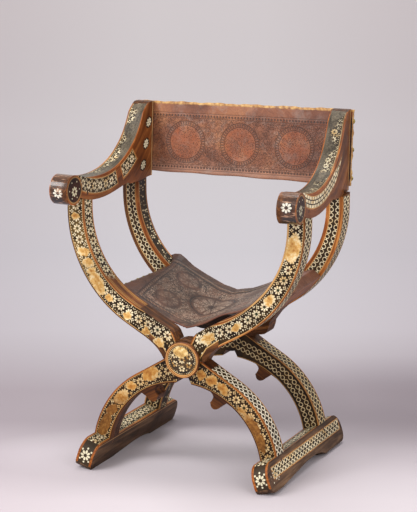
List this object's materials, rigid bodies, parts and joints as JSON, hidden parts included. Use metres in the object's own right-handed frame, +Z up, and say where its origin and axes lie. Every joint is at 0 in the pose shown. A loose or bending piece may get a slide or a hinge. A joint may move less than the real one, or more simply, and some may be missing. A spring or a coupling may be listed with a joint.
{
  "type": "hip-joint armchair",
  "caption": "Folding armchair of crossed curved members turning on hip pins, with scrolled arms, leather sling seat and back, and two runners.",
  "frame": {"origin": "middle of the chair's bounding box in plan, on the floor", "axes": "+X to the chair's left-hand arm as drawn from the front, from left to right; +Y from the front to the back; +Z up; the hip pins lie along Y at X = 0"},
  "size_m": [0.6792, 0.52, 0.927],
  "materials": {
    "inlaid_walnut": "dark walnut set with small light bone inlay, satin",
    "arm_walnut": "walnut with inlay, worn satin",
    "plain_walnut": "plain walnut, satin",
    "peg_wood": "plain, matt",
    "inlaid_boss": "inlaid wood with a ringed rim, satin",
    "iron": "dark wrought iron",
    "brass": "tarnished brass",
    "seat_leather": "tooled leather, worn",
    "back_leather": "tooled red-brown leather, worn"
  },
  "bodies": {
    "left_arm_half": {"front_member_left_arm": "inlaid_walnut", "back_member_left_arm": "inlaid_walnut", "left_arm": "arm_walnut", "right_runner": "inlaid_walnut", "left_seat_rail": "plain_walnut", "left_arm_front_peg": "peg_wood", "left_arm_back_peg": "peg_wood", "right_runner_front_peg": "peg_wood", "right_runner_back_peg": "peg_wood", "front_boss": "inlaid_boss", "front_hip_pin": "iron", "front_hip_washer": "iron", "seat_leather": "seat_leather", "back_leather": "back_leather", "left_back_stud_1": "brass", "left_back_stud_2": "brass", "left_back_stud_3": "brass"},
    "right_arm_half": {"front_member_right_arm": "inlaid_walnut", "back_member_right_arm": "inlaid_walnut", "right_arm": "arm_walnut", "left_runner": "inlaid_walnut", "right_seat_rail": "plain_walnut", "right_arm_front_peg": "peg_wood", "right_arm_back_peg": "peg_wood", "left_runner_front_peg": "peg_wood", "left_runner_back_peg": "peg_wood", "back_boss": "inlaid_boss", "back_hip_pin": "iron", "back_hip_washer": "iron", "right_back_stud_1": "brass", "right_back_stud_2": "brass", "right_back_stud_3": "brass"}
  },
  "joints": [
    {"name": "hip_fold", "type": "hinge", "parent": "left_arm_half", "child": "right_arm_half", "pos_m": [0, 0, 0.31], "axis": [0, -1, 0], "range_deg": [0, 30], "deforming": ["seat_leather", "back_leather"]}
  ]
}
